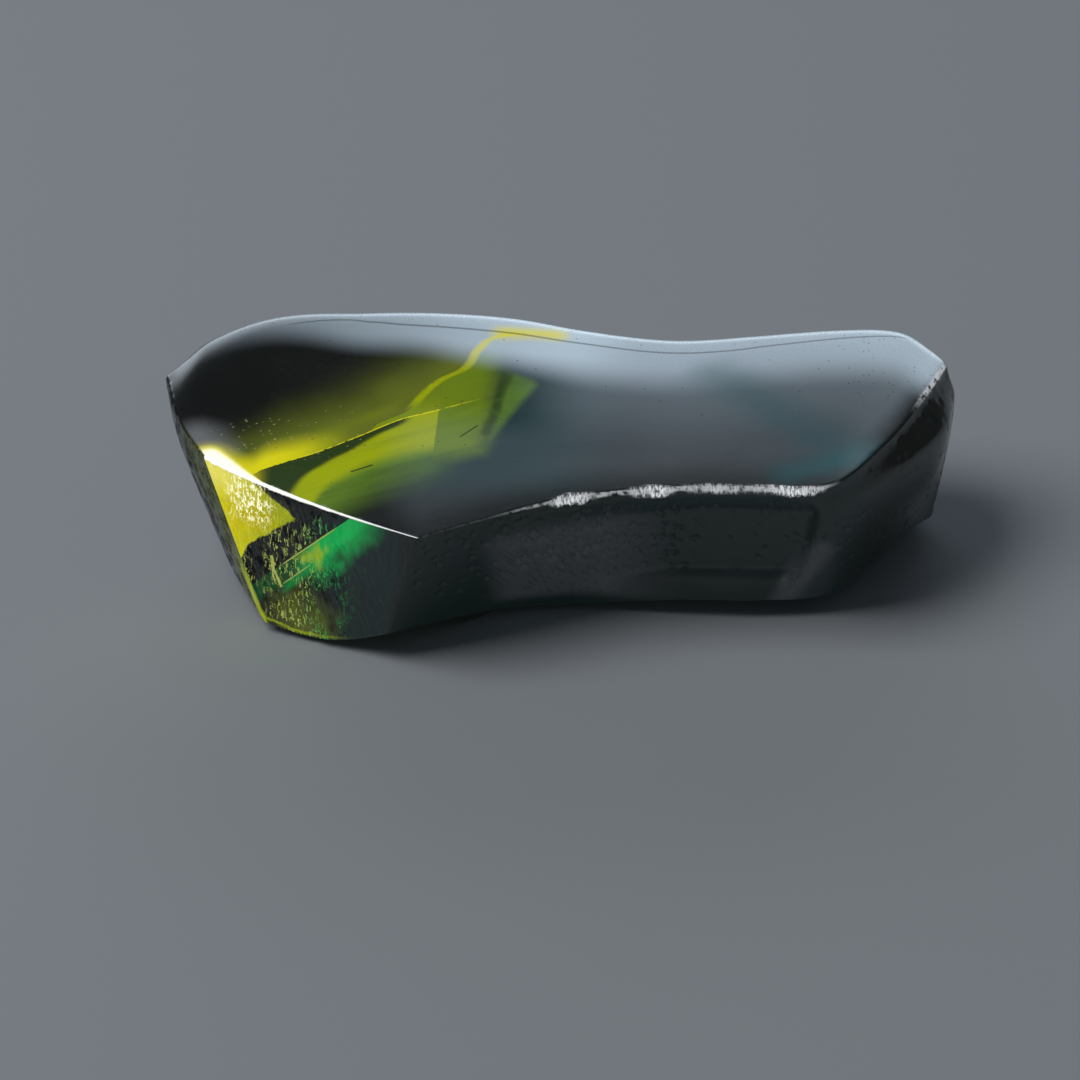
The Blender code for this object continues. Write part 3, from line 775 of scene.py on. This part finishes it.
def sapphire_material(sizes, colours, origin, fields):
    """Dark green-blue corundum with zones of colour, and a painted glow from its colours, brightest where it is clear
    and yellow.

    The mesh carries each zone as a distance or a share, and the nodes turn a distance into a sharp edge.
    """
    material = bpy.data.materials.new("Sapphire")
    material.use_nodes = True
    n = Nodes(material.node_tree, fields)
    object_place = n.add("TexCoord", {}, {}, "Object")
    place = n.add("VectorMath", {"operation": "MULTIPLY_ADD"},
                  {0: object_place, 1: (1000.0,) * 3, 2: tuple(origin)})
    split = n.add("SeparateXYZ", {}, {0: place}).socket.node
    x, y, z = (Wire(n, socket) for socket in split.outputs)
    side, under, chip, number, near = (n.field(name) for name in ("side", "under", "chip", "number", "near"))
    (way_x, way_y), (corner_x, corner_y) = FACET_WAY, HOT_CORNER
    s = way_x * x + way_y * y - (way_x * corner_x + way_y * corner_y)
    fine = n.noise(place, 0.12, 2.0)

    outer = (1 - under) * near
    on_side = side * outer
    over = n.ease(side, 0.5, 0.1)
    facet = n.ease(number, 1.998, 2.003) * n.ease(number, 4.0, 3.99) * on_side
    wall = n.ease(number, 0.0, 0.3) * n.ease(number, 2.0, 1.99) * on_side
    front = n.ease(number, 3.99, 4.01) * n.ease(number, 9.8, 9.2) * on_side

    behind, from_vein = n.field("behind"), n.field("from_vein")
    past_line, before = n.ease(behind, -0.012, 0.012), n.ease(behind, 0.012, -0.012)
    top = n.mix(n.field("teal_top"), colours.body, colours.teal)
    top = n.mix(n.field("haze") * past_line, top, colours.haze)
    top = n.mix(n.field("close") * past_line, top, n.mix(n.ease(x, -3.6, -5.8), colours.yellow, colours.glow))
    left_of_vein = n.ease(from_vein, 0.05, -0.02) * past_line
    top = n.layers(
        top,
        (n.field("vein_haze") * left_of_vein, colours.haze),
        (n.field("beside") * n.ease(from_vein, -0.02, 0.05) * past_line * 0.7, colours.olive),
        (n.field("wedge") * before, colours.pine),
        (n.field("green_top") * before * 0.85, colours.green),
        (n.field("yellow_top") * before * n.ease(x, -1.93, -1.97), colours.yellow),
    )
    dusty = before * n.ease(behind, -0.22, -0.05) * n.ease(x, -2.9, -4.0) * n.ease(fine, 0.40, 0.6)
    top = n.mix(dusty, top, colours.pine)
    olive = n.ease(n.field("olive"), -0.20, 0.60) * n.ease(from_vein, -0.02, 0.06) * n.ease(x, -1.97, -1.93)
    streaky = n.field("streaky")
    top = n.layers(
        top,
        (olive * (0.38 + 0.2 * n.ease(y, 0.3, -1.6) + 0.6 * streaky), colours.olive),
        (n.ease(n.field("tip"), -0.06, 0.20) * (0.45 + 0.4 * streaky), colours.green),
        (n.ease(n.field("shade"), 0.17, 0.03) * 0.7, colours.pine),
    )
    thread = n.ease(abs(behind), 0.026, 0.008) * n.ease(x, -0.8, -2.2) * n.ease(fine, 0.35, 0.5)
    top = n.mix(thread, top, colours.glow)
    vein = n.ease(abs(from_vein + 0.02), 0.16, 0.04) * n.ease(y, -1.0, -0.6) * n.ease(y, 1.9, 1.5)
    top = n.mix(vein * (0.5 + 0.8 * fine), top, colours.yellow)
    # A painted sheen over the top, standing for the light behind reflected, then the yellow and teal marks, and a
    # painted grey glow above the hot corner
    frost = n.field("frost")
    top = n.layers(
        top,
        (frost, colours.frost),
        (vein * n.ease(y, 0.2, 1.0) * 0.6, colours.glow),
        (n.field("crest_patch") * 0.75, colours.glow),
        (n.field("teal_light") * 0.55, colours.teal_light),
        (n.field("grey_glow") * 0.18, colours.edge),
    )
    # Painted light: a yellow glow round the hot corner, and a white hot spot at it
    from_hot = n.field("hot")
    top = n.mix(n.ease(n.field("hot_gap"), 0.80, 0.10) * n.ease(x, -5.5, -6.3), top, colours.glow)
    top = n.mix(n.ease(from_hot, 1.5, 0.8), top, colours.hot)

    right_end = n.ease(x + 0.4 * y, 6.4, 8.4)
    specks = n.cells((x + 0.6 * z) / 0.12, (y + 0.8 * z) / 0.12)
    spots = n.ease(specks["Distance"], 0.24, 0.10)
    pins = spots * (specks["Lot"] < 0.01 + 0.08 * right_end)
    top = n.mix(pins * 0.6, top, colours.body)
    dashes = n.cells((x + 0.5 * y) / 0.19, (y - 0.5 * x) / 0.06)
    bright = n.ease(dashes["Distance"], 0.24, 0.06) * n.ease(dashes["Lot"], 0.84, 0.99)
    top = n.mix(bright * n.field("speckled"), top, colours.speck)
    nick = n.stroke(x, y, (-3.72, -3.02), (-3.30, -2.80), 0.010, 0.03)
    nick = nick.larger(n.stroke(x, y, (-1.38, -1.82), (-1.04, -1.46), 0.006, 0.02))
    top = n.mix(nick * 0.85, top, colours.body)
    crack = n.ease(abs(y - n.curve(x, CRACK_Y)), 0.050, 0.015) * n.ease(x, -6.0, -5.2) * n.ease(x, 8.7, 8.2) * over
    top = n.mix(crack * 0.55, top, colours.body)

    upper, second = growth_lines(s, z)
    below_upper, below_second = n.ease(upper, 0.0, 0.02), n.ease(second, 0.0, 0.02)
    yellow = n.ease(n.field("yellow"), -0.03, 0.04)
    low = n.mix(n.ease(s, 3.4, 4.6) * (0.10 + 0.35 * fine), colours.body, colours.teal)
    low = n.layers(
        low,
        (n.field("low_glow") * 0.6, colours.haze),
        (n.field("band") * below_upper, colours.emerald),
        (n.field("right_band") * below_upper * 0.8, colours.emerald),
        (n.field("lit"), colours.lime),
        (n.field("low_band") * below_second * 0.45, colours.emerald),
        (yellow * (0.7 + 0.5 * fine), n.mix(n.ease(s, 2.6, 0.4), colours.yellow, colours.glow)),
        (n.field("warm") * yellow * 0.35, colours.amber),
    )

    bend = 6.0 * fine
    strokes = n.cells((s + 0.35 * z) / 0.048 + bend * 0.6, (z - 0.3 * s) / 0.190 + bend * 0.4)
    lot = strokes["Lot"]
    flecks = n.ease(strokes["Distance"], 0.20 + 0.30 * lot, 0.05 + 0.20 * lot) * (lot > 0.30)
    quiet = n.ease(s, 4.6, 3.4)
    mottled = flecks * quiet * n.field("fleck_patch")
    # Painted sparkle: glowing strokes in the yellow zone, and light flecks in the etch marks elsewhere
    low = n.mix(flecks * yellow * 0.5 * lot, low, colours.glow)
    fleck_colour = n.mix(n.ease(s, 2.6, 3.8), colours.fleck, colours.emerald)
    low = n.mix(mottled * (1 - yellow) * n.ease(z, 3.3, 3.0) * lot, low, fleck_colour)
    line_one = n.ease(abs(upper - 0.015), 0.028, 0.006) * n.ease(s, 2.3, 2.5) * n.ease(s, 4.0, 3.7)
    line_two = n.ease(abs(second - 0.01), 0.028, 0.006) * n.ease(s, 2.35, 2.5) * n.ease(s, 3.2, 3.0)
    arrow = n.stroke(s, z, (2.09, 1.80), (2.36, 1.15), 0.010, 0.022)
    arrow = arrow.larger(n.stroke(s, z, (2.09, 1.80), (2.20, 1.25), 0.010, 0.022))
    lines = line_one.larger(line_two * 0.8).larger(arrow)
    low = n.mix(lines * 0.9, low, colours.fleck)
    from_corner = n.field("from_corner")
    low = n.layers(
        low,
        (n.ease(from_corner, 0.080, 0.02), colours.yellow),
        (n.ease(n.field("from_foot"), 0.05, 0.01) * n.ease(s, 4.4, 3.0) * 0.7, colours.yellow),
        (n.ease(s, 5.0 + 0.20 * z, 5.3 + 0.20 * z), colours.body),
        # a painted glow below the facet's upper edge near the hot corner
        (n.ease(z, 2.7, 3.35) * n.ease(s, 2.0, 0.5) * 0.7, colours.hot),
    )
    # Painted glints: white sparkles in the facet's yellow zone
    glint = n.field("glint") * n.ease(fine + 0.30 * flecks, 0.55, 0.70)
    low = n.mix(glint, low, colours.hot)

    dark_front = n.mix(front * 0.15, colours.body, colours.teal)
    # A dim painted sheen on the front face, broken by the pits
    paint = n.mix(n.field("satin") * front * (1 - 0.6 * spots), dark_front, colours.satin)
    lit_wall = n.ease(from_corner, 0.50, 0.08) * n.ease(z, 1.7, 0.9)
    beside_facet = n.mix(n.ease(from_corner, 1.4, 0.2) * (0.2 + 0.5 * flecks), colours.body, colours.haze)
    paint = n.layers(
        paint,
        (wall, n.mix(lit_wall, beside_facet, colours.yellow)),
        (facet, low),
        (over, top),
    )
    # Painted highlights: a thin white line along the left facet's upper edge, and bright flecks along the front and
    # right rims
    on_edge = n.ease(abs(side - 0.5) + s * 0.035, 0.45, 0.20) * n.ease(number, 1.93, 2.0) * n.ease(number, 4.03, 3.98)
    on_edge = on_edge * outer
    on_rim = n.ease(abs(side - 0.5), 0.42, 0.18)
    paint = n.mix(on_edge, paint, colours.edge)
    hackle = n.noise(n.scaled(place, (1.0, 0.3, 0.3)), 0.04, 1.0)
    front_line = on_rim * n.ease(number, 4.0, 4.1) * n.ease(number, 9.2, 8.8)
    front_line = front_line * (n.ease(x, -0.6, 1.2) * 0.5 + 0.05) * n.ease(fine, 0.25, 0.6) * outer
    right_line = on_rim * n.ease(number, 10.6, 11.2) * n.ease(number, 12.05, 11.9)
    front_line = front_line.larger(right_line * n.ease(fine, 0.30, 0.55) * near * 0.7)
    paint = n.mix(front_line, paint, colours.edge)
    # Broken edges near white in hatched streaks: partly the pale broken surface, partly painted glints
    paint = n.mix(chip * (0.10 + 0.90 * n.ease(hackle, 0.42, 0.58)), paint, colours.broken)

    roughness = 0.13 + 0.10 * fine + frost * over * 0.12 + front * (0.16 + 0.4 * n.field("lip")) - facet * 0.04
    height = (fine * on_side * 0.2 + hackle * (chip + 0.5 * facet)) * (sizes.etch_bump / MM)
    bump = n.add("Bump", {}, {"Strength": 1.0, "Distance": MM, "Height": height})

    # Painted light: every colour is also given out as emission, a painted glow for light inside the crystal; the hot
    # corner, the facet's upper edge and its glints glow white as painted highlights
    core = (n.ease(from_hot, 1.15, 0.6) * over).larger(on_edge * n.ease(s, 6.5, 2.0)).larger(glint * facet * 0.8)
    light = n.mix(core, n.scaled(paint, (GLOW_SHARE,) * 3), (1.0, 1.0, 0.86))
    shader = n.add("BsdfPrincipled", {}, {
        "Base Color": paint, "Roughness": roughness, "IOR": SAPPHIRE_INDEX, "Transmission Weight": SEE_THROUGH,
        "Emission Color": light, "Emission Strength": 1.0, "Normal": bump,
    })
    finish_material(n, shader)
    material.cycles.emission_sampling = "NONE"  # the glow isn't sampled as a lamp, which would be slow
    return material


def finish_material(n, shader):
    out = n.tree.nodes.new("ShaderNodeOutputMaterial")
    n.tree.links.new(shader.socket, out.inputs["Surface"])


class SAPPHIRE_OT_stone(bpy.types.Operator):
    """Makes the stone's skin with its relief and its material"""

    bl_idname = "sapphire.stone"
    bl_label = "Stone"

    def execute(self, context):
        sizes, colours = context.scene.sapphire_sizes, context.scene.sapphire_colours
        points, fields = stone_grid()
        origin = (points.min(axis=(0, 1)) + points.max(axis=(0, 1))) / 2 * (1, 1, 0)
        points = cut_by_balls(points)
        fields |= top_zones(points) | side_zones(points) | numbered_on(fields["station"])
        points = points + grid_normals(points) * relief(points, fields, sizes)[..., None]
        points[..., 2] = np.maximum(points[..., 2], 0)
        stone = put_in_mesh("sapphire_skin", points, fields, origin)
        stone.data.materials.append(sapphire_material(sizes, colours, origin, fields))
        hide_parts("sapphire")
        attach(stone, "root")
        return {"FINISHED"}


class SAPPHIRE_OT_stage(bpy.types.Operator):
    """Makes the plain floor, the soft lights and the camera"""

    bl_idname = "sapphire.stage"
    bl_label = "Stage"

    def execute(self, context):
        stage = context.scene.sapphire_stage
        add_floor(stage)
        add_world(context.scene, stage)
        add_back_light(stage)
        add_soft_light("Key light", KEY_PLACE, KEY_WIDTH, KEY_WIDTH, stage.key_light)
        add_camera(context.scene)
        context.scene.view_settings.view_transform = "Standard"
        return {"FINISHED"}


FLOOR_HALF = 1.5
COOL_LIGHT = (0.80, 0.90, 1.0)
KEY_PLACE = (-0.12, -0.02, 0.20)
KEY_WIDTH = 0.16

# Rows of the wide light behind the stone: the elevations that each spans, in degrees, and its brightness
BACK_ROWS = [(1, 23, 1.0), (23, 29, 0.4)]
BACK_DISTANCE = 0.40
BACK_WIDTH = 0.40

# The camera: its turn, rise and roll in degrees, what it looks at, its distance and its lens
CAMERA_ANGLES = (7.2, 30.0, -4.0)
CAMERA_TARGET = (-0.0005544, 0.0012961, 0.0)
CAMERA_DISTANCE = 0.1824
SENSOR_WIDTH = 36.0
LENS = SENSOR_WIDTH * 8000 / 1080


def add_floor(stage):
    mesh = bpy.data.meshes.new("floor")
    corners = [(-1, -1, 0), (1, -1, 0), (1, 1, 0), (-1, 1, 0)]
    mesh.from_pydata(np.multiply(corners, FLOOR_HALF), [], [(0, 1, 2, 3)])
    floor = bpy.data.objects.new("floor", mesh)
    bpy.context.scene.collection.objects.link(floor)
    material = bpy.data.materials.new("Plain floor")
    material.use_nodes = True
    n = Nodes(material.node_tree)
    finish_material(n, n.add("BsdfDiffuse", {}, {"Color": (*stage.floor, 1.0)}))
    mesh.materials.append(material)


def add_world(scene, stage):
    world = bpy.data.worlds.new("Dim room")
    world.use_nodes = True
    scene.world = world
    room = world.node_tree.nodes["Background"]
    room.inputs["Color"].default_value = (*COOL_LIGHT, 1.0)
    room.inputs["Strength"].default_value = stage.around_light


def add_soft_light(name, place, width, height, brightness, colour=(1.0, 1.0, 1.0)):
    """A rectangular softbox that faces the stone. Its power is its brightness times its area times pi."""
    light = bpy.data.lights.new(name, "AREA")
    light.shape = "RECTANGLE"
    light.size, light.size_y = width, height
    light.energy = brightness * width * height * np.pi
    light.color = colour
    lamp = bpy.data.objects.new(name, light)
    lamp.location = place
    lamp.rotation_euler = (-Vector(place)).to_track_quat("-Z", "Y").to_euler()
    lamp.visible_camera = False
    bpy.context.scene.collection.objects.link(lamp)


def add_back_light(stage):
    """One wide light low behind the stone that fades upwards, made of rows."""
    for number, (low, high, share) in enumerate(BACK_ROWS):
        middle = np.radians((low + high) / 2)
        place = (-0.05, BACK_DISTANCE * np.cos(middle), BACK_DISTANCE * np.sin(middle))
        tall = 2 * BACK_DISTANCE * np.tan(np.radians(high - low) / 2)
        add_soft_light(f"Back light {number}", place, BACK_WIDTH, tall, share * stage.back_light, COOL_LIGHT)


def add_camera(scene):
    """The camera stands 30 degrees above the floor, a little to the right, and is rolled by 4 degrees."""
    turn, rise, roll = np.radians(CAMERA_ANGLES)
    away = np.array([np.cos(rise) * np.sin(turn), -np.cos(rise) * np.cos(turn), np.sin(rise)])
    right = np.array([np.cos(turn), np.sin(turn), 0.0])
    up = np.cross(away, right)
    rolled_right = np.cos(roll) * right + np.sin(roll) * up
    rolled_up = -np.sin(roll) * right + np.cos(roll) * up
    camera = bpy.data.cameras.new("Camera")
    camera.sensor_fit = "HORIZONTAL"
    camera.sensor_width, camera.lens = SENSOR_WIDTH, LENS
    camera.clip_start, camera.clip_end = 0.01, 10.0
    eye = bpy.data.objects.new("Camera", camera)
    axes = np.array([rolled_right, rolled_up, away]).T
    eye.matrix_world = Matrix.Translation(CAMERA_TARGET + away * CAMERA_DISTANCE) @ Matrix(axes.tolist()).to_4x4()
    scene.collection.objects.link(eye)
    scene.camera = eye


class SAPPHIRE_PT_panel(bpy.types.Panel):
    """Lists the steps and their settings"""

    bl_idname = "SAPPHIRE_PT_panel"
    bl_label = "Rough sapphire"
    bl_space_type = "VIEW_3D"
    bl_region_type = "UI"
    bl_category = "Sapphire"

    def draw(self, context):
        for operator in OPERATORS:
            self.layout.operator(operator.bl_idname)
        for group in GROUPS:
            box = self.layout.box()
            for name in GROUPS[group].__annotations__:
                box.prop(getattr(context.scene, group), name)


GROUPS = {"sapphire_sizes": SapphireSizes, "sapphire_colours": SapphireColours, "sapphire_stage": SapphireStage}
OPERATORS = [SAPPHIRE_OT_stone, SAPPHIRE_OT_stage]


def register():
    for group in GROUPS.values():
        bpy.utils.register_class(group)
    for name, group in GROUPS.items():
        setattr(bpy.types.Scene, name, PointerProperty(type=group))
    for shown in [*OPERATORS, SAPPHIRE_PT_panel]:
        bpy.utils.register_class(shown)


def unregister():
    for shown in [SAPPHIRE_PT_panel, *OPERATORS]:
        bpy.utils.unregister_class(shown)
    for name, group in GROUPS.items():
        delattr(bpy.types.Scene, name)
        bpy.utils.unregister_class(group)


def main():
    register()
    bpy.ops.sapphire.stone()
    bpy.ops.sapphire.stage()


if __name__ == "__main__":
    main()
